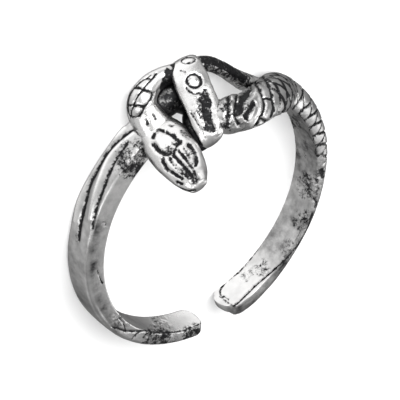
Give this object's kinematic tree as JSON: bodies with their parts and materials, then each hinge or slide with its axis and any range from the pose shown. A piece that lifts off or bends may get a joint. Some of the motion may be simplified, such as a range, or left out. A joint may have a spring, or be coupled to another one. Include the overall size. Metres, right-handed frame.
{
  "type": "snake wrap ring",
  "caption": "Open finger ring in dark-toned silvery metal, with a scaled snake whose head and body cross in a knot at the top.",
  "frame": {"origin": "on the finger axis, level with the flat back edge of the band, which is what the ring rests on when it lies on its side", "axes": "+Z along the finger axis, towards the side that the snake's head points to; +Y towards the knot at the top of the ring; +X towards the scaled shank"},
  "size_m": [0.0199, 0.0216, 0.0072],
  "materials": {
    "antique_silver": "cast silvery metal, polished on the high parts and blackened in the recesses"
  },
  "bodies": {
    "root": {"snake_ring": "antique_silver"}
  },
  "joints": []
}
